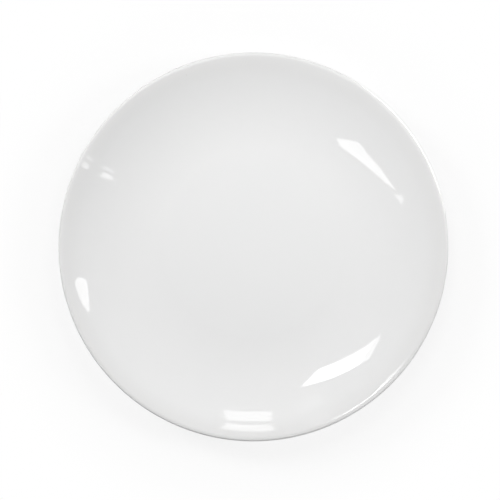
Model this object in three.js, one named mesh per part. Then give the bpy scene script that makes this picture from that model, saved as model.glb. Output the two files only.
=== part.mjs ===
// A rimless china plate, of the kind called a coupe: one porcelain body, formed in one go with its foot
// ring, and the two coats of glaze that are fused to it. The band that the foot stands on is bare, so it
// parts the glaze into an outer coat, over the face, lip and back, and a base coat inside the foot ring.
// Millimetres, +Z up. The origin is the middle of the circle that the foot stands on.
import * as THREE from "three";
import { mergeGeometries, mergeVertices } from "three/addons/utils/BufferGeometryUtils.js";

// Driving dimensions of the finished, glazed plate, in millimetres and degrees.
const PLATE_DIAMETER = 260;
const PLATE_HEIGHT = 26; // from the table to the top of the lip
const WELL_DIAMETER = 132; // the level middle of the face
const WELL_THICKNESS = 4.8; // from the base recess to the well, glaze included
const LIP_EDGE_RADIUS = 1.4; // the round outer edge
const LIP_TOP_RADIUS = 5.3; // the softer turn from the lip's top into the face
const WALL_EASE_ANGLE = 6; // how much the wall flattens from its steepest place to the lip
const FACE_EASE_RADIUS = 82; // the turn that flattens the wall below the lip, on the face
const BACK_EASE_RADIUS = 90; // and on the back
const FOOT_DIAMETER = 148; // over the band that it stands on
const FOOT_BAND_WIDTH = 3;
const FOOT_HEIGHT = 4; // from the table to the base recess
const FOOT_DRAFT = 15; // lean of both sides of the foot ring
const FOOT_EDGE_RADIUS = 0.6; // the rounded corners of the band
const FOOT_COVE_RADIUS = 2.4; // the hollow where each side of the foot runs into the plate
const BARE_SIDE_HEIGHT = 0.4; // unglazed stretch of each side, above the rounded corner
const GLAZE_THICKNESS = 0.25;

// Fineness of the facets.
const SIDES = 64;
const FACET_DEVIATION = 0.08;
const WELD_DISTANCE = 1e-3;

const PORCELAIN = { color: 0xe6e2d9, roughness: 0.75, metalness: 0 };
const GLAZE = { color: 0xf0f0ef, roughness: 0.08, metalness: 0 };

const { sin, cos, PI } = Math;
const radians = THREE.MathUtils.degToRad;
const point = (r, z) => new THREE.Vector2(r, z);
const toward = (angle, length = 1) => point(length * cos(angle), length * sin(angle));

// Places that several pieces share, on the half section: x is the distance from the axis, y the height.
const wellRadius = WELL_DIAMETER / 2;
const wellLevel = FOOT_HEIGHT + WELL_THICKNESS;
const lipRadius = PLATE_DIAMETER / 2 - LIP_EDGE_RADIUS;
const lipCentre = point(lipRadius, PLATE_HEIGHT - LIP_EDGE_RADIUS);

// The wall's section leaves a level plane on a long hollow arc, grows steeper, flattens by the ease angle
// on a second arc, and ends on the lip's arc. Its slope is the one at which it climbs as high as the lip.
// A negative endRadius is a lip that curls under the wall's end, as it does on the back.
function wallSection({ climb, easeRadius, endRadius }) {
  const run = lipRadius - wellRadius;
  const withSlope = (slope) => {
    const endSlope = slope - radians(WALL_EASE_ANGLE);
    const easeRun = easeRadius * (sin(slope) - sin(endSlope));
    const longRadius = (run - easeRun - endRadius * sin(endSlope)) / sin(slope);
    const easeClimb = easeRadius * (cos(endSlope) - cos(slope));
    const reached = longRadius * (1 - cos(slope)) + easeClimb + endRadius * (1 - cos(endSlope));
    return { slope, endSlope, longRadius, easeRadius, reached };
  };
  let [low, high] = [radians(WALL_EASE_ANGLE), PI / 2];
  for (let halving = 0; halving < 50; halving++) {
    const middle = (low + high) / 2;
    if (withSlope(middle).reached < climb) low = middle;
    else high = middle;
  }
  return withSlope(low);
}

// An arc of the section, met on the way from the base to the face. Its radius is that of the glazed
// surface. The material lies outside a hollow arc and inside any other.
function arc(centre, radius, from, to, hollow = false) {
  const facetAngle = 2 * Math.acos(1 - FACET_DEVIATION / radius);
  const steps = Math.ceil(Math.abs(to - from) / facetAngle);
  return { centre, radius, from, to, hollow, steps };
}

// The points of a chain of tangent arcs, at a depth below the glazed surface.
function trace(arcs, depth) {
  return arcs.flatMap(({ centre, radius, from, to, hollow, steps }, place) => {
    const length = hollow ? radius + depth : radius - depth;
    const points = [];
    for (let step = place === 0 ? 0 : 1; step <= steps; step++) {
      points.push(centre.clone().add(toward(from + ((to - from) * step) / steps, length)));
    }
    return points;
  });
}

// One side of the foot ring, the outer (+1) or the inner (-1): the corner of the band, the way up the
// leaning side, the two edges of the glaze above the bare stretch, and a point to measure the cove from.
function footSide(way) {
  const draft = radians(FOOT_DRAFT);
  const bandEdge = FOOT_DIAMETER / 2 - (way > 0 ? 0 : FOOT_BAND_WIDTH);
  const out = point(way * cos(draft), -sin(draft));
  const up = point(way * sin(draft), cos(draft));
  const cornerCentre = point(bandEdge, FOOT_EDGE_RADIUS);
  const sideStart = cornerCentre.clone().addScaledVector(out, FOOT_EDGE_RADIUS);
  const glazeEnd = sideStart.clone().addScaledVector(up, BARE_SIDE_HEIGHT);
  const glazeShoulder = glazeEnd.clone().addScaledVector(up.clone().add(out), GLAZE_THICKNESS);
  const coveLine = sideStart.clone().addScaledVector(out, FOOT_COVE_RADIUS + GLAZE_THICKNESS);
  return { up, cornerCentre, glazeEnd, glazeShoulder, coveLine };
}

const face = wallSection({
  climb: PLATE_HEIGHT - wellLevel,
  easeRadius: FACE_EASE_RADIUS,
  endRadius: LIP_TOP_RADIUS,
});
const back = wallSection({
  climb: PLATE_HEIGHT - 2 * LIP_EDGE_RADIUS - FOOT_HEIGHT,
  easeRadius: BACK_EASE_RADIUS,
  endRadius: -LIP_EDGE_RADIUS,
});
const outerSide = footSide(1);
const innerSide = footSide(-1);

// The outer coat's arcs, from the outside of the foot ring round the lip to the edge of the well.
function outerArcs() {
  const backCentre = point(wellRadius, FOOT_HEIGHT + back.longRadius);
  const cove = outerCove(backCentre);
  const coveToBack = backCentre.clone().sub(cove).angle();
  const backEaseStep = toward(back.endSlope - PI / 2, LIP_EDGE_RADIUS + back.easeRadius);
  const backEaseCentre = lipCentre.clone().add(backEaseStep);
  const lipTopCentre = point(lipRadius, PLATE_HEIGHT - LIP_TOP_RADIUS);
  const faceEaseStep = toward(face.endSlope + PI / 2, LIP_TOP_RADIUS - face.easeRadius);
  const faceEaseCentre = lipTopCentre.clone().add(faceEaseStep);
  const faceCentre = point(wellRadius, wellLevel + face.longRadius);
  return [
    arc(cove, FOOT_COVE_RADIUS, PI - radians(FOOT_DRAFT), coveToBack, true),
    arc(backCentre, back.longRadius, coveToBack - PI, back.slope - PI / 2),
    arc(backEaseCentre, back.easeRadius, back.slope + PI / 2, back.endSlope + PI / 2, true),
    arc(lipCentre, LIP_EDGE_RADIUS, back.endSlope - PI / 2, 0),
    arc(lipCentre, LIP_EDGE_RADIUS, 0, PI / 2),
    arc(lipTopCentre, LIP_TOP_RADIUS, PI / 2, face.endSlope + PI / 2),
    arc(faceEaseCentre, face.easeRadius, face.endSlope + PI / 2, face.slope + PI / 2),
    arc(faceCentre, face.longRadius, face.slope - PI / 2, -PI / 2, true),
  ];
}

// The cove's circle touches the foot's side and, from outside, the back's long arc.
function outerCove(backCentre) {
  const { coveLine, up } = outerSide;
  const fromBack = coveLine.clone().sub(backCentre);
  const apart = back.longRadius + FOOT_COVE_RADIUS;
  const half = fromBack.dot(up);
  const along = -half - Math.sqrt(half * half - fromBack.lengthSq() + apart * apart);
  return coveLine.clone().addScaledVector(up, along);
}

// The base coat's arc, from the edge of the level recess to the inside of the foot ring.
function baseArcs() {
  const { coveLine, up } = innerSide;
  const along = (FOOT_HEIGHT - FOOT_COVE_RADIUS - coveLine.y) / up.y;
  const cove = coveLine.clone().addScaledVector(up, along);
  return [arc(cove, FOOT_COVE_RADIUS, PI / 2, radians(FOOT_DRAFT), true)];
}

// The section's stretches, each traced from the base towards the face.
function outerStretch(depth) {
  const start = depth > 0 ? outerSide.glazeEnd : outerSide.glazeShoulder;
  return [start, ...trace(outerArcs(), depth), point(0, wellLevel - depth)];
}

function baseStretch(depth) {
  const end = depth > 0 ? innerSide.glazeEnd : innerSide.glazeShoulder;
  return [point(0, FOOT_HEIGHT + depth), ...trace(baseArcs(), depth), end];
}

function bareFootStretch() {
  const draft = radians(FOOT_DRAFT);
  const innerCorner = arc(innerSide.cornerCentre, FOOT_EDGE_RADIUS, draft - PI, -PI / 2);
  const outerCorner = arc(outerSide.cornerCentre, FOOT_EDGE_RADIUS, -PI / 2, -draft);
  const corners = [innerCorner, outerCorner].flatMap((corner) => trace([corner], 0));
  return [innerSide.glazeEnd, ...corners, outerSide.glazeEnd];
}

// A stretch of the section turned about the Z axis: an open skin that faces out of the plate.
function skin(stretch) {
  return new THREE.LatheGeometry(stretch, SIDES).rotateX(PI / 2);
}

// The same skin seen from its other side: two pieces that meet on it share every facet.
function turnedOver(geometry) {
  const flipped = geometry.clone();
  const corners = flipped.index.array;
  for (let first = 0; first < corners.length; first += 3) {
    [corners[first + 1], corners[first + 2]] = [corners[first + 2], corners[first + 1]];
  }
  return flipped;
}

// A closed piece made of skins that meet along their edges.
function piece(name, finish, skins) {
  const joined = mergeGeometries(skins);
  joined.deleteAttribute("normal");
  joined.deleteAttribute("uv");
  const closed = mergeVertices(joined, WELD_DISTANCE);
  closed.computeVertexNormals();
  const mesh = new THREE.Mesh(closed, new THREE.MeshStandardMaterial(finish));
  mesh.name = name;
  return mesh;
}

// The two skins on which the porcelain and its glaze are fused.
const outerBond = skin(outerStretch(GLAZE_THICKNESS));
const baseBond = skin(baseStretch(GLAZE_THICKNESS));

const plate = new THREE.Group();
plate.name = "china_plate";
plate.add(
  piece("porcelain_body", PORCELAIN, [baseBond, skin(bareFootStretch()), outerBond]),
  piece("outer_glaze", GLAZE, [
    skin([outerSide.glazeEnd, ...outerStretch(0)]),
    turnedOver(outerBond),
  ]),
  piece("base_glaze", GLAZE, [
    skin([...baseStretch(0), innerSide.glazeEnd]),
    turnedOver(baseBond),
  ]),
);

export default plate;
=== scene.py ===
"""A rimless china plate, of the kind called a coupe: porcelain and two coats of glaze, on a white table.

Metres, +Z up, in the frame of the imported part. A point of the half section is a complex number: its real
part is the distance from the axis, and its imaginary part is the height.
"""
import cmath
import math
from collections import namedtuple
from math import cos, pi, radians, sin

import bpy
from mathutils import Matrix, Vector


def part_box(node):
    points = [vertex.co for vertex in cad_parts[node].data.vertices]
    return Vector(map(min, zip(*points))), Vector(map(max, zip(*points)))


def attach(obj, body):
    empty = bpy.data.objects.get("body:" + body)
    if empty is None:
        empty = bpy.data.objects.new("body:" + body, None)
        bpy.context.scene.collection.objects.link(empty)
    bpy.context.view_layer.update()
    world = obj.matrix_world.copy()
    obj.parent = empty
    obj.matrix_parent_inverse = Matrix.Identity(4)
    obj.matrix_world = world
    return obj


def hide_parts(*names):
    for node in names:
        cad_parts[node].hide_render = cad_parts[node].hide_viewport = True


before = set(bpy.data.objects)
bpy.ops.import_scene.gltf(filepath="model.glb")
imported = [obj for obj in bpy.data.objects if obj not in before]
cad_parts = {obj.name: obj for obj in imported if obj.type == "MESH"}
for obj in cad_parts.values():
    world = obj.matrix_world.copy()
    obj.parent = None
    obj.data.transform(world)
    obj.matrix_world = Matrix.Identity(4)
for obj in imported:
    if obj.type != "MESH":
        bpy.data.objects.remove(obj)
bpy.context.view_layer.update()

MM = 0.001
MICRON = 1e-6

# The sizes that the frame gives.
glazed_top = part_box("outer_glaze")[1]
PLATE_RADIUS = glazed_top.x
PLATE_HEIGHT = glazed_top.z
GLAZE_THICKNESS = glazed_top.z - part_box("porcelain_body")[1].z
FOOT_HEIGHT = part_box("base_glaze")[1].z - GLAZE_THICKNESS

# The rest of the section, on the finished, glazed plate.
WELL_RADIUS = 66 * MM  # the level middle of the face
WELL_THICKNESS = 4.8 * MM  # from the base recess to the well
LIP_EDGE_RADIUS = 1.4 * MM  # the round outer edge
LIP_TOP_RADIUS = 5.3 * MM  # the softer turn from the lip's top into the face
WALL_EASE_ANGLE = radians(6)  # how much the wall flattens from its steepest place to the lip
FACE_EASE_RADIUS = 82 * MM  # the turn that flattens it, on the face
BACK_EASE_RADIUS = 90 * MM  # and on the back
FOOT_RADIUS = 74 * MM  # over the band that the plate stands on
FOOT_BAND_WIDTH = 3 * MM
FOOT_DRAFT = radians(15)  # lean of both sides of the foot ring
FOOT_EDGE_RADIUS = 0.6 * MM  # the rounded corners of the band
FOOT_COVE_RADIUS = 2.4 * MM  # the hollow where each side of the foot runs into the plate
BARE_SIDE_HEIGHT = 0.4 * MM  # unglazed stretch of each side, above the rounded corner

# Small faults of a plate that was turned and fired.
RIM_WARP = 0.3 * MM  # how far the lip strays from level
WARP_LOBES = 0.6  # about four rises round the lip
GLAZE_LINE_STRAY = 0.3 * MM  # how far the edge of the glaze wanders beside the bare foot
STRAY_LOBES = 3.5  # about twenty wanderings round the foot
FIRING_SEED = 7

# Fineness of the section and of the turned skins.
HALVINGS = 50  # on the way to the wall's slope
FACETS = 192
STEP_LENGTH = 1.6 * MM
STEP_ANGLE = radians(3)
LEVEL_STEP = 6 * MM
WELD_DISTANCE = 1 * MICRON
SHARP_ANGLE = radians(50)  # from which an edge is a crease

WELL_LEVEL = FOOT_HEIGHT + WELL_THICKNESS
LIP_RADIUS = PLATE_RADIUS - LIP_EDGE_RADIUS
LIP_CENTRE = complex(LIP_RADIUS, PLATE_HEIGHT - LIP_EDGE_RADIUS)

# A stretch of the section that bends one way. Its radius is that of the glazed surface, and the plate
# lies outside a hollow arc and inside any other.
Arc = namedtuple("Arc", "centre radius start end hollow", defaults=[False])
Wall = namedtuple("Wall", "slope end_slope long_radius ease_radius")
FootSide = namedtuple("FootSide", "up corner glaze_end bead cove_line")


def wall(climb, ease_radius, end_radius):
    """The section of a wall that leaves a level plane on a long hollow arc, grows steeper, flattens by the
    ease angle, and ends on the lip's arc, at the slope where it climbs as high as the lip. A negative
    end_radius is a lip that curls under the wall's end, as it does on the back."""

    def with_slope(slope):
        end_slope = slope - WALL_EASE_ANGLE
        ease_run = ease_radius * (sin(slope) - sin(end_slope))
        run = LIP_RADIUS - WELL_RADIUS - ease_run - end_radius * sin(end_slope)
        return Wall(slope, end_slope, run / sin(slope), ease_radius)

    def climbs(section):
        ease_climb = ease_radius * (cos(section.end_slope) - cos(section.slope))
        end_climb = end_radius * (1 - cos(section.end_slope))
        return section.long_radius * (1 - cos(section.slope)) + ease_climb + end_climb

    low, high = WALL_EASE_ANGLE, pi / 2
    for _ in range(HALVINGS):
        middle = (low + high) / 2
        if climbs(with_slope(middle)) < climb:
            low = middle
        else:
            high = middle
    return with_slope(low)


def foot_side(way):
    """One side of the foot ring, the outer (1) or the inner (-1): the way up it, the corner of the band,
    the rounded edge of the glaze above the bare stretch, and a point to measure the cove from."""
    up = cmath.rect(1, pi / 2 - way * FOOT_DRAFT)
    out = up * cmath.rect(1, -way * pi / 2)
    band_edge = FOOT_RADIUS if way > 0 else FOOT_RADIUS - FOOT_BAND_WIDTH
    corner = complex(band_edge, FOOT_EDGE_RADIUS)
    side_start = corner + out * FOOT_EDGE_RADIUS
    glaze_end = side_start + up * BARE_SIDE_HEIGHT
    downward = -pi / 2 - way * FOOT_DRAFT
    bead = Arc(glaze_end + up * GLAZE_THICKNESS, GLAZE_THICKNESS, downward, downward + way * pi / 2)
    cove_line = side_start + out * (FOOT_COVE_RADIUS + GLAZE_THICKNESS)
    return FootSide(up, corner, glaze_end, bead, cove_line)


FACE = wall(PLATE_HEIGHT - WELL_LEVEL, FACE_EASE_RADIUS, LIP_TOP_RADIUS)
BACK = wall(PLATE_HEIGHT - 2 * LIP_EDGE_RADIUS - FOOT_HEIGHT, BACK_EASE_RADIUS, -LIP_EDGE_RADIUS)
BACK_CENTRE = complex(WELL_RADIUS, FOOT_HEIGHT + BACK.long_radius)
OUTER_SIDE = foot_side(1)
INNER_SIDE = foot_side(-1)


def dot(one, other):
    return (one * other.conjugate()).real


def outer_cove():
    """The middle of the cove that touches the outside of the foot and the back's long arc."""
    from_back = OUTER_SIDE.cove_line - BACK_CENTRE
    apart = BACK.long_radius + FOOT_COVE_RADIUS
    half = dot(from_back, OUTER_SIDE.up)
    along = -half - math.sqrt(half**2 - abs(from_back) ** 2 + apart**2)
    return OUTER_SIDE.cove_line + OUTER_SIDE.up * along


def inner_cove():
    """The middle of the cove that touches the inside of the foot and the level base."""
    along = (FOOT_HEIGHT - FOOT_COVE_RADIUS - INNER_SIDE.cove_line.imag) / INNER_SIDE.up.imag
    return INNER_SIDE.cove_line + INNER_SIDE.up * along


OUTER_COVE = outer_cove()
INNER_COVE = inner_cove()


def outer_arcs():
    """From the outside of the foot ring up the back, round the lip and down the face to the well."""
    cove_to_back = cmath.phase(BACK_CENTRE - OUTER_COVE)
    back_ease = LIP_CENTRE + cmath.rect(LIP_EDGE_RADIUS + BACK.ease_radius, BACK.end_slope - pi / 2)
    lip_top = complex(LIP_RADIUS, PLATE_HEIGHT - LIP_TOP_RADIUS)
    face_ease = lip_top + cmath.rect(LIP_TOP_RADIUS - FACE.ease_radius, FACE.end_slope + pi / 2)
    face_centre = complex(WELL_RADIUS, WELL_LEVEL + FACE.long_radius)
    return [
        Arc(OUTER_COVE, FOOT_COVE_RADIUS, pi - FOOT_DRAFT, cove_to_back, hollow=True),
        Arc(BACK_CENTRE, BACK.long_radius, cove_to_back - pi, BACK.slope - pi / 2),
        Arc(back_ease, BACK.ease_radius, BACK.slope + pi / 2, BACK.end_slope + pi / 2, hollow=True),
        Arc(LIP_CENTRE, LIP_EDGE_RADIUS, BACK.end_slope - pi / 2, 0),
        Arc(LIP_CENTRE, LIP_EDGE_RADIUS, 0, pi / 2),
        Arc(lip_top, LIP_TOP_RADIUS, pi / 2, FACE.end_slope + pi / 2),
        Arc(face_ease, FACE.ease_radius, FACE.end_slope + pi / 2, FACE.slope + pi / 2),
        Arc(face_centre, FACE.long_radius, FACE.slope - pi / 2, -pi / 2, hollow=True),
    ]


def trace(arcs, depth=0.0):
    """The points of a chain of tangent arcs, at a depth below the glazed surface."""
    points = []
    for arc in arcs:
        length = arc.radius + depth if arc.hollow else arc.radius - depth
        sweep = arc.end - arc.start
        steps = math.ceil(max(abs(sweep) / STEP_ANGLE, abs(sweep) * arc.radius / STEP_LENGTH))
        for step in range(1 if points else 0, steps + 1):
            points.append(arc.centre + cmath.rect(length, arc.start + sweep * step / steps))
    return points


def level(radius, height):
    """The points of a level stretch, from just inside its edge to the axis."""
    steps = math.ceil(radius / LEVEL_STEP)
    return [complex(radius * step / steps, height) for step in reversed(range(steps))]


def outer_stretch(depth):
    return trace(outer_arcs(), depth) + level(WELL_RADIUS, WELL_LEVEL - depth)


def base_stretch(depth):
    cove = Arc(INNER_COVE, FOOT_COVE_RADIUS, FOOT_DRAFT, pi / 2, hollow=True)
    return trace([cove], depth) + level(INNER_COVE.real, FOOT_HEIGHT + depth)


def bare_foot():
    inner = Arc(INNER_SIDE.corner, FOOT_EDGE_RADIUS, FOOT_DRAFT - pi, -pi / 2)
    outer = Arc(OUTER_SIDE.corner, FOOT_EDGE_RADIUS, -pi / 2, -FOOT_DRAFT)
    return [INNER_SIDE.glaze_end, *trace([inner]), *trace([outer]), OUTER_SIDE.glaze_end]


def porcelain_section():
    base = base_stretch(GLAZE_THICKNESS)
    return base[::-1] + bare_foot() + outer_stretch(GLAZE_THICKNESS)


def outer_coat_section():
    bond = [OUTER_SIDE.glaze_end, *outer_stretch(GLAZE_THICKNESS)]
    return trace([OUTER_SIDE.bead]) + outer_stretch(0) + bond[::-1]


def base_coat_section():
    bond = [INNER_SIDE.glaze_end, *base_stretch(GLAZE_THICKNESS)]
    return bond + base_stretch(0)[::-1] + trace([INNER_SIDE.bead])[::-1]


class Wire:
    """An output of a node. Arithmetic on it adds the Math nodes that work it out."""

    def __init__(self, nodes, socket):
        self.nodes = nodes
        self.socket = socket

    def __add__(self, other):
        return self.nodes.math("ADD", self, other)

    def __sub__(self, other):
        return self.nodes.math("SUBTRACT", self, other)

    def __rsub__(self, other):
        return self.nodes.math("SUBTRACT", other, self)

    def __mul__(self, other):
        return self.nodes.math("MULTIPLY", self, other)

    def __truediv__(self, other):
        return self.nodes.math("DIVIDE", self, other)

    def __rtruediv__(self, other):
        return self.nodes.math("DIVIDE", other, self)

    def __mod__(self, other):
        return self.nodes.math("MODULO", self, other)

    def __rmod__(self, other):
        return self.nodes.math("MODULO", other, self)

    def __floordiv__(self, other):
        return self.nodes.math("FLOOR", self / other)

    def __rfloordiv__(self, other):
        return self.nodes.math("FLOOR", other / self)

    def __pow__(self, other):
        return self.nodes.math("POWER", self, other)

    def __rpow__(self, other):
        return self.nodes.math("POWER", other, self)

    def __lt__(self, other):
        return self.nodes.math("LESS_THAN", self, other)

    def __gt__(self, other):
        return self.nodes.math("GREATER_THAN", self, other)

    __radd__ = __add__
    __rmul__ = __mul__


class Nodes:
    """A node tree that is being built."""

    def __init__(self, tree):
        self.tree = tree
        tree.nodes.clear()

    def add(self, kind, settings=None, sockets=None, output=None):
        """Adds a node, with its settings made before its sockets, and gives one of its outputs."""
        node = self.tree.nodes.new(kind)
        for name, value in (settings or {}).items():
            setattr(node, name, value)
        for name, value in (sockets or {}).items():
            socket = pick(node.inputs, name)
            if isinstance(value, Wire):
                self.tree.links.new(value.socket, socket)
            else:
                socket.default_value = value
        return Wire(self, pick(node.outputs, output)) if node.outputs else None

    def take(self, name, kind):
        """Adds a named input to the tree and gives it."""
        self.tree.interface.new_socket(name, in_out="INPUT", socket_type=kind)
        return self.add("NodeGroupInput", output=name)

    def math(self, operation, *values):
        return self.add("ShaderNodeMath", {"operation": operation}, dict(enumerate(values)))

    def vector_math(self, operation, *values, output=None):
        sockets = dict(enumerate(values))
        return self.add("ShaderNodeVectorMath", {"operation": operation}, sockets, output)

    def vector(self, x, y, z):
        return self.add("ShaderNodeCombineXYZ", sockets={"X": x, "Y": y, "Z": z})

    def part(self, axis, vector):
        return self.add("ShaderNodeSeparateXYZ", sockets={"Vector": vector}, output=axis)

    def blend(self, factor, start, end):
        """The colour that lies between two others."""
        colours = {"Factor": factor, "A": start, "B": end}
        return self.add("ShaderNodeMix", {"data_type": "RGBA"}, colours)

    def ease(self, value, start, end):
        """0 up to the start and 1 from the end on, with a smooth way between them."""
        limits = {"Value": value, "From Min": start, "From Max": end}
        return self.add("ShaderNodeMapRange", {"interpolation_type": "SMOOTHSTEP"}, limits)

    def cloud(self, place, size, seed=0.0, detail=2.0):
        """Soft random patches of about that size, from 0 to 1."""
        sockets = {"Vector": place, "W": seed, "Scale": 1 / size, "Detail": detail}
        return self.add("ShaderNodeTexNoise", {"noise_dimensions": "4D"}, sockets, "Fac")


def pick(sockets, name):
    """A socket by its place or by its name, and the first one in use where no name is given."""
    if isinstance(name, int):
        return sockets[name]
    return next(socket for socket in sockets if socket.enabled and name in (None, socket.name))


def potters_wheel():
    """The tree that turns a half section about the axis into a closed skin. The lip strays a little from
    level, as a fired plate's does, and what lies below the glaze line is slipped along the foot's side."""
    nodes = Nodes(bpy.data.node_groups.new("potters_wheel", "GeometryNodeTree"))
    section = nodes.take("Section", "NodeSocketGeometry")
    facets = nodes.take("Facets", "NodeSocketInt")
    lip_radius = nodes.take("Lip Radius", "NodeSocketFloat")
    level_radius = nodes.take("Level Radius", "NodeSocketFloat")
    warp = nodes.take("Rim Warp", "NodeSocketFloat")
    glaze_line = nodes.take("Glaze Line", "NodeSocketFloat")
    stray = nodes.take("Glaze Line Stray", "NodeSocketVector")
    seed = nodes.take("Firing Seed", "NodeSocketFloat")
    finish = nodes.take("Finish", "NodeSocketMaterial")

    count = nodes.add("GeometryNodeAttributeDomainSize", {}, {"Geometry": section}, "Point Count")
    sheet = nodes.add("GeometryNodeMeshGrid", sockets={"Vertices X": facets + 1, "Vertices Y": count})
    index = nodes.add("GeometryNodeInputIndex")
    angle = (index // count) * (2 * pi) / facets
    drawn = nodes.add("GeometryNodeInputPosition")
    sampled = {"Geometry": section, "Value": drawn, "Index": index % count}
    spot = nodes.add("GeometryNodeSampleIndex", {"data_type": "FLOAT_VECTOR"}, sampled)

    def turned(vector):
        sockets = {"Vector": vector, "Angle": angle}
        return nodes.add("ShaderNodeVectorRotate", {"rotation_type": "Z_AXIS"}, sockets)

    def lobes(amount):
        """A smooth rise and fall round the plate, from -1 to 1."""
        return 2 * nodes.cloud(turned((amount, 0, 0)), size=1, seed=seed, detail=0) - 1

    slip = (nodes.part("Z", spot) < glaze_line) * lobes(STRAY_LOBES)
    slipped = nodes.add("ShaderNodeVectorMath", {"operation": "SCALE"}, {0: stray, "Scale": slip})
    lift = warp * nodes.ease(nodes.part("X", spot), level_radius, lip_radius) * lobes(WARP_LOBES)
    swept = turned(nodes.vector_math("ADD", spot, slipped))
    place = nodes.vector_math("ADD", swept, nodes.vector(0, 0, lift))

    skin = nodes.add("GeometryNodeSetPosition", sockets={"Geometry": sheet, "Position": place})
    skin = nodes.add("GeometryNodeMergeByDistance", sockets={"Geometry": skin, "Distance": WELD_DISTANCE})
    loose = nodes.add("GeometryNodeInputMeshEdgeNeighbors") < 1
    scraps = {"Geometry": skin, "Selection": loose}
    skin = nodes.add("GeometryNodeDeleteGeometry", {"domain": "EDGE"}, scraps)
    smooth = {"Geometry": skin, "Shade Smooth": True}
    skin = nodes.add("GeometryNodeSetShadeSmooth", {"domain": "FACE"}, smooth)
    sharp = nodes.add("GeometryNodeInputMeshEdgeAngle", output="Unsigned Angle") > SHARP_ANGLE
    creases = {"Geometry": skin, "Selection": sharp, "Shade Smooth": False}
    skin = nodes.add("GeometryNodeSetShadeSmooth", {"domain": "EDGE"}, creases)
    skin = nodes.add("GeometryNodeRealizeInstances", sockets={"Geometry": skin})
    skin = nodes.add("GeometryNodeSetMaterial", sockets={"Geometry": skin, "Material": finish})
    nodes.tree.interface.new_socket("Skin", in_out="OUTPUT", socket_type="NodeSocketGeometry")
    nodes.add("NodeGroupOutput", sockets={"Skin": skin})
    return nodes.tree


def turn(name, section, wheel, finish, glaze_line=0.0, stray=0j):
    """A piece of the plate, turned from its half section."""
    drawing = bpy.data.meshes.new(name + "_section")
    edges = [(place, place + 1) for place in range(len(section) - 1)]
    drawing.from_pydata([(point.real, 0, point.imag) for point in section], edges, [])
    piece = bpy.data.objects.new(name, drawing)
    bpy.context.scene.collection.objects.link(piece)
    turning = piece.modifiers.new("turning", "NODES")
    turning.node_group = wheel
    inputs = {
        "Facets": FACETS,
        "Lip Radius": LIP_RADIUS,
        "Level Radius": FOOT_RADIUS,
        "Rim Warp": RIM_WARP,
        "Glaze Line": glaze_line,
        "Glaze Line Stray": (stray.real, 0.0, stray.imag),
        "Firing Seed": float(FIRING_SEED),
        "Finish": finish,
    }
    for socket in wheel.interface.items_tree:
        if socket.name in inputs:
            turning[socket.identifier] = inputs[socket.name]
    evaluated = piece.evaluated_get(bpy.context.evaluated_depsgraph_get())
    skin = bpy.data.meshes.new_from_object(evaluated)
    skin.materials.pop(index=0)  # the empty slot that a new grid comes with
    piece.modifiers.remove(turning)
    piece.data = skin
    skin.name = name
    bpy.data.meshes.remove(drawing)
    return piece


def new_finish(name):
    material = bpy.data.materials.new(name)
    material.use_nodes = True
    return material, Nodes(material.node_tree)


def ring_distance(nodes, place, ring):
    """The distance from a circle about the axis, given by its point on the section."""
    flat = nodes.vector_math("MULTIPLY", place, (1, 1, 0))
    radius = nodes.vector_math("LENGTH", flat, output="Value")
    height = nodes.part("Z", place)
    return ((radius - ring.real) ** 2 + (height - ring.imag) ** 2) ** 0.5


# Colours, as linear light.
GLAZE_WHITE = (0.835, 0.835, 0.832, 1)
GLAZE_MILKY = (0.820, 0.822, 0.822, 1)  # slow drift of the white
GLAZE_POOLED = (0.745, 0.772, 0.785, 1)  # where it is thick, in the coves
LIP_PAINTED_SHADE = (0.795, 0.794, 0.790, 1)  # painted shade: the glaze greys towards the lip's edge, where less light falls on it
GLAZE_SPECK = (0.46, 0.42, 0.37, 1)
PORCELAIN = (0.78, 0.75, 0.69, 1)
PORCELAIN_PALE = (0.84, 0.82, 0.77, 1)
PORCELAIN_SCUFF = (0.42, 0.41, 0.40, 1)

IOR = 1.5  # of the glass, in the glaze and in the body

# The glaze.
DRIFT_SIZE = 50 * MM
POOL_REACH = 6 * MM  # from the middle of a cove
LIP_SHADE_REACH = 16 * MM  # how far the lip's painted shade reaches, from the middle of the lip's round edge
DULL_REACH = 1.7 * MM  # from there too
GLOSS = 0.010  # roughness of clean glass
SMEAR = 0.012  # what smears add to it
SMEAR_SIZE = 9 * MM
DULL = 0.3  # and what the dull line on the lip's edge adds
SWAY_SIZE = 36 * MM
SWAY_HEIGHT = 15 * MICRON
PEEL_SIZE = 3.5 * MM
PEEL_HEIGHT = 2 * MICRON
SPECK_SPACING = 9 * MM
SPECK_SHARE = 1 / 40  # of the places where a speck could be
SPECK_RADIUS = 0.27 * MM
SPECK_CORE = 0.108 * MM
SPECK_DEPTH = 0.6

# The bare porcelain of the foot.
GRAIN_SIZE = 0.4 * MM
GRAIN_HEIGHT = 25 * MICRON
RING_SCALE = 1 / (2.2 * MM)  # rings about 0.7 mm apart
RING_WAVER = 1.5
RING_DETAIL = 2.0
RING_HEIGHT = 4 * MICRON
SCUFF_SIZE = 5 * MM
SCUFF_LIMITS = (0.55, 0.72)  # of the patches that it is cut from
SCUFF_DEPTH = 0.35
SCUFF_ON_RINGS = 0.3
RUBBED_HEIGHT = 0.25 * MM  # above the table
DRY = 0.82  # roughness of the bare body
POLISH = 0.2  # what rubbing takes from it


def ceramic(nodes, colour, roughness, relief):
    """The surface of glass or of fired clay, with its relief in metres."""
    bump = nodes.add("ShaderNodeBump", sockets={"Strength": 1.0, "Distance": 1.0, "Height": relief})
    sockets = {"Base Color": colour, "Roughness": roughness, "IOR": IOR, "Normal": bump}
    shader = nodes.add("ShaderNodeBsdfPrincipled", sockets=sockets)
    nodes.add("ShaderNodeOutputMaterial", sockets={"Surface": shader})


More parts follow.
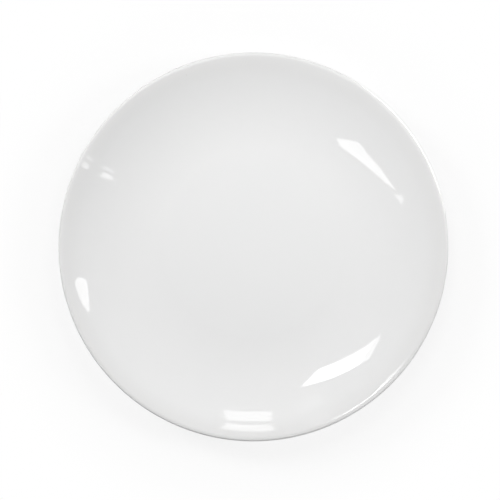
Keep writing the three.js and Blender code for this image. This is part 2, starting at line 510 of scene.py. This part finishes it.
def glaze_finish():
    """Clear, glossy glass over white china."""
    material, nodes = new_finish("white_glaze")
    place = nodes.add("ShaderNodeTexCoord", output="Object")
    white = nodes.blend(nodes.cloud(place, DRIFT_SIZE, seed=1), GLAZE_WHITE, GLAZE_MILKY)
    for cove in (OUTER_COVE, INNER_COVE):
        near = nodes.ease(ring_distance(nodes, place, cove), POOL_REACH, FOOT_COVE_RADIUS)
        white = nodes.blend(near, white, GLAZE_POOLED)
    from_lip = ring_distance(nodes, place, LIP_CENTRE)
    # Painted shade: the glaze greys towards the lip, standing in for the light that falls off there.
    white = nodes.blend(nodes.ease(from_lip, LIP_SHADE_REACH, LIP_EDGE_RADIUS), white, LIP_PAINTED_SHADE)
    white = nodes.blend(glaze_specks(nodes, place), white, GLAZE_SPECK)

    smears = SMEAR * nodes.cloud(place, SMEAR_SIZE, seed=5)
    roughness = GLOSS + smears + DULL * nodes.ease(from_lip, DULL_REACH, LIP_EDGE_RADIUS)
    sway = SWAY_HEIGHT * nodes.cloud(place, SWAY_SIZE, seed=3, detail=1)
    peel = PEEL_HEIGHT * nodes.cloud(place, PEEL_SIZE, seed=4, detail=1)
    ceramic(nodes, white, roughness, sway + peel)
    return material


def glaze_specks(nodes, place):
    """A few fine iron specks, each in the middle of one of the cells that share out the surface."""
    cells = {"Vector": place, "Scale": 1 / SPECK_SPACING}
    distance = nodes.add("ShaderNodeTexVoronoi", {}, cells, "Distance")
    lot = nodes.part("X", nodes.add("ShaderNodeTexVoronoi", {}, cells, "Color"))
    spots = nodes.ease(distance, SPECK_RADIUS / SPECK_SPACING, SPECK_CORE / SPECK_SPACING)
    return spots * (lot > 1 - SPECK_SHARE) * SPECK_DEPTH


def porcelain_finish():
    """Bare fired porcelain: dry, fine-grained, rubbed smooth in rings, with grey scuffs from the table."""
    material, nodes = new_finish("fired_porcelain")
    place = nodes.add("ShaderNodeTexCoord", output="Object")
    grain = nodes.cloud(place, GRAIN_SIZE, seed=1, detail=3)
    rings = nodes.add(
        "ShaderNodeTexWave",
        {"wave_type": "RINGS", "rings_direction": "Z"},
        {"Vector": place, "Scale": RING_SCALE, "Distortion": RING_WAVER, "Detail": RING_DETAIL},
        "Fac",
    )
    scuffs = nodes.ease(nodes.cloud(place, SCUFF_SIZE, seed=2, detail=4), *SCUFF_LIMITS)
    low = nodes.ease(nodes.part("Z", place), RUBBED_HEIGHT, 0.0)
    colour = nodes.blend(grain, PORCELAIN, PORCELAIN_PALE)
    scuffed = scuffs * low * (SCUFF_DEPTH + SCUFF_ON_RINGS * rings)
    colour = nodes.blend(scuffed, colour, PORCELAIN_SCUFF)
    relief = grain * GRAIN_HEIGHT + rings * RING_HEIGHT
    ceramic(nodes, colour, DRY - POLISH * low * rings, relief)
    return material


def dress(piece, node):
    """Puts a finished piece in the place of its CAD node."""
    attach(piece, "root")
    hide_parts(node)


wheel = potters_wheel()
glaze = glaze_finish()
bare_porcelain = porcelain_finish()
bead_height = OUTER_SIDE.up.imag * GLAZE_THICKNESS
glaze_line = OUTER_SIDE.glaze_end.imag + bead_height - GLAZE_THICKNESS / 4  # near the top of the bead
outer_stray = OUTER_SIDE.up * GLAZE_LINE_STRAY
inner_stray = INNER_SIDE.up * GLAZE_LINE_STRAY

porcelain = turn("porcelain", porcelain_section(), wheel, bare_porcelain)
outer_coat = turn("outer_coat", outer_coat_section(), wheel, glaze, glaze_line, outer_stray)
base_coat = turn("base_coat", base_coat_section(), wheel, glaze, glaze_line, inner_stray)
dress(porcelain, "porcelain_body")
dress(outer_coat, "outer_glaze")
dress(base_coat, "base_glaze")

# The table, the light and the camera.
TABLE_SIZE = 12.0
TABLE_GAP = 0.02 * MM
TABLE_WHITE = (0.92, 0.92, 0.92, 1)
SHADOW_SHARE = 0.15  # how much of the table's own light and shade shows, beside plain white
SHADOW_REACH = 0.2  # from the plate's axis
WHITE = (1, 1, 1, 1)
AMBIENT = 0.08  # strength of the room's even light

CEILING = 1.7  # height of the panels
CEILING_PANELS = {  # how bright each is, and its corners
    "long_panel": (
        5.4,
        [(-0.25, 0.925), (-0.265, 0.655), (-0.56, 0.70), (-0.81, 0.715), (-0.835, 0.98), (-0.51, 0.98)],
    ),
    "cut_panel": (
        5.6,
        [
            (-0.30, -0.215), (-0.40, -0.213), (-0.70, -0.19), (-0.85, -0.188), (-0.76, -0.235),
            (-0.69, -0.295), (-0.595, -0.34), (-0.565, -0.43), (-0.33, -0.31),
        ],
    ),
    "far_panel": (4.5, [(-0.14, 1.48), (0.25, 1.49), (0.27, 1.89), (-0.155, 1.88)]),
    "side_panel": (6.2, [(1.415, 0.475), (1.75, 0.50), (1.75, 0.84), (1.57, 0.82), (1.46, 0.64)]),
    "narrow_panel": (
        4.8,
        [
            (1.285, -0.405), (1.205, -0.42), (1.06, -0.365), (0.96, -0.315), (0.87, -0.255),
            (1.07, -0.325),
        ],
    ),
    "thin_panel": (
        3.7,
        [(1.38, -0.535), (1.18, -0.465), (1.0, -0.38), (0.895, -0.315), (1.025, -0.37), (1.22, -0.455)],
    ),
    "small_panel": (
        4.2,
        [
            (-0.775, -0.14), (-0.965, -0.18), (-1.005, -0.17), (-0.945, -0.125), (-0.88, -0.105),
            (-0.845, -0.127),
        ],
    ),
    "dim_panel": (1.8, [(-0.30, 1.28), (-0.46, 1.22), (-0.635, 1.61), (-0.45, 1.76)]),
}

# Two cards that show only in gloss: one is the bright middle of the long panel's image, and the other
# stands upright beside the plate and is mirrored by the edge of the lip.
CORE_HEIGHT = 1.69  # just under the long panel
CORE_CARD = [
    (-0.26, 0.90), (-0.275, 0.675), (-0.56, 0.725), (-0.70, 0.735), (-0.72, 0.955), (-0.51, 0.955),
]
CORE_CARD_LIGHT = 16.0
RIM_CARD = [(0.92, 1.37, 0.05), (1.59, 0.455, 0.05), (1.59, 0.455, 1.30), (0.92, 1.37, 1.30)]
RIM_CARD_LIGHT = 20.0

SOFT_LAMPS = {  # watts, size and place
    "near_lamp": (0.315, 0.12, (0.03, 0.085, 0.34)),
    "left_lamp": (12.9, 0.5, (-1.135, 0.655, 0.92)),
    "right_lamp": (10.0, 0.5, (1.31, 0.0, 0.92)),
}

IMAGE_SIZE = 500
PLATE_CENTRE_PX = (253.4, 246.9)
PLATE_RADIUS_PX = 195.0
CAMERA_TILT = radians(4)
LENS = 85.0
SENSOR = 36.0


def seen_rays(nodes):
    """1 for the rays that show a thing to the camera, in gloss or through glass, and 0 for any other."""
    rays = ("Is Camera Ray", "Is Glossy Ray", "Is Transmission Ray")
    camera, glossy, transmission = (nodes.add("ShaderNodeLightPath", output=ray) for ray in rays)
    return camera + glossy + transmission


def sheet_object(name, corners, material):
    mesh = bpy.data.meshes.new(name)
    mesh.from_pydata(corners, [], [range(len(corners))])
    mesh.materials.append(material)
    sheet = bpy.data.objects.new(name, mesh)
    bpy.context.scene.collection.objects.link(sheet)
    return sheet


def square(half, height):
    return [(-half, -half, height), (half, -half, height), (half, half, height), (-half, half, height)]


def table():
    """A white table: plain to the eye, with a share of its own light and shade close to the plate."""
    material, nodes = new_finish("table_white")
    place = nodes.add("ShaderNodeTexCoord", output="Object")
    away = nodes.ease(nodes.vector_math("LENGTH", place, output="Value"), PLATE_RADIUS, SHADOW_REACH)
    plain = seen_rays(nodes) * (1 - SHADOW_SHARE * (1 - away))
    lit = nodes.add("ShaderNodeBsdfDiffuse", sockets={"Color": TABLE_WHITE})
    white = nodes.add("ShaderNodeEmission", sockets={"Color": WHITE, "Strength": 1.0})
    shader = nodes.add("ShaderNodeMixShader", sockets={0: plain, 1: lit, 2: white})
    nodes.add("ShaderNodeOutputMaterial", sockets={"Surface": shader})
    sheet_object("table", square(TABLE_SIZE / 2, -TABLE_GAP), material)


def room():
    """White to the eye and to gloss, with a low, even light on what stands in it."""
    world = bpy.data.worlds.new("room")
    bpy.context.scene.world = world
    world.use_nodes = True
    nodes = Nodes(world.node_tree)
    even = nodes.add("ShaderNodeBackground", sockets={"Color": WHITE, "Strength": AMBIENT})
    white = nodes.add("ShaderNodeBackground", sockets={"Color": WHITE, "Strength": 1.0})
    shader = nodes.add("ShaderNodeMixShader", sockets={0: seen_rays(nodes), 1: even, 2: white})
    nodes.add("ShaderNodeOutputWorld", sockets={"Surface": shader})


def light_panel(name, corners, strength):
    """A flat, evenly bright panel, which the glaze mirrors."""
    material, nodes = new_finish(name)
    glow = nodes.add("ShaderNodeEmission", sockets={"Color": WHITE, "Strength": strength})
    nodes.add("ShaderNodeOutputMaterial", sockets={"Surface": glow})
    panel = sheet_object(name, corners, material)
    panel.visible_camera = False
    return panel


def soft_lamp(name, power, size, place):
    """A round lamp that shines on the plate and leaves no image in the glaze."""
    light = bpy.data.lights.new(name, "AREA")
    light.shape = "DISK"
    light.size = size
    light.energy = power
    lamp = bpy.data.objects.new(name, light)
    lamp.location = place
    lamp.rotation_euler = Vector(place).to_track_quat("Z", "Y").to_euler()
    lamp.visible_camera = False
    lamp.visible_glossy = False
    bpy.context.scene.collection.objects.link(lamp)


def camera():
    """From above, a little towards the front, with the lip's circle where the photograph has it."""
    lens = bpy.data.cameras.new("camera")
    lens.lens = LENS
    lens.sensor_width = SENSOR
    pixel = PLATE_RADIUS / PLATE_RADIUS_PX
    distance = IMAGE_SIZE * pixel * LENS / SENSOR
    right = (PLATE_CENTRE_PX[0] - IMAGE_SIZE / 2) * pixel
    up = (IMAGE_SIZE / 2 - PLATE_CENTRE_PX[1]) * pixel / cos(CAMERA_TILT)
    nearer_half = PLATE_RADIUS**2 * sin(CAMERA_TILT) * cos(CAMERA_TILT) / distance  # which looks larger
    aim = Vector((-right, -up - nearer_half, LIP_CENTRE.imag))
    holder = bpy.data.objects.new("camera", lens)
    holder.location = aim + distance * Vector((0, -sin(CAMERA_TILT), cos(CAMERA_TILT)))
    holder.rotation_euler = (CAMERA_TILT, 0, 0)
    bpy.context.scene.collection.objects.link(holder)
    bpy.context.scene.camera = holder


table()
room()
for panel, (strength, outline) in CEILING_PANELS.items():
    light_panel(panel, [(x, y, CEILING) for x, y in outline], strength)
light_panel("rim_card", RIM_CARD, RIM_CARD_LIGHT).visible_diffuse = False
core_card = light_panel("core_card", [(x, y, CORE_HEIGHT) for x, y in CORE_CARD], CORE_CARD_LIGHT)
core_card.visible_diffuse = False
core_card.visible_shadow = False
for lamp, (power, size, place) in SOFT_LAMPS.items():
    soft_lamp(lamp, power, size, place)
camera()
bpy.context.scene.view_settings.view_transform = "Standard"
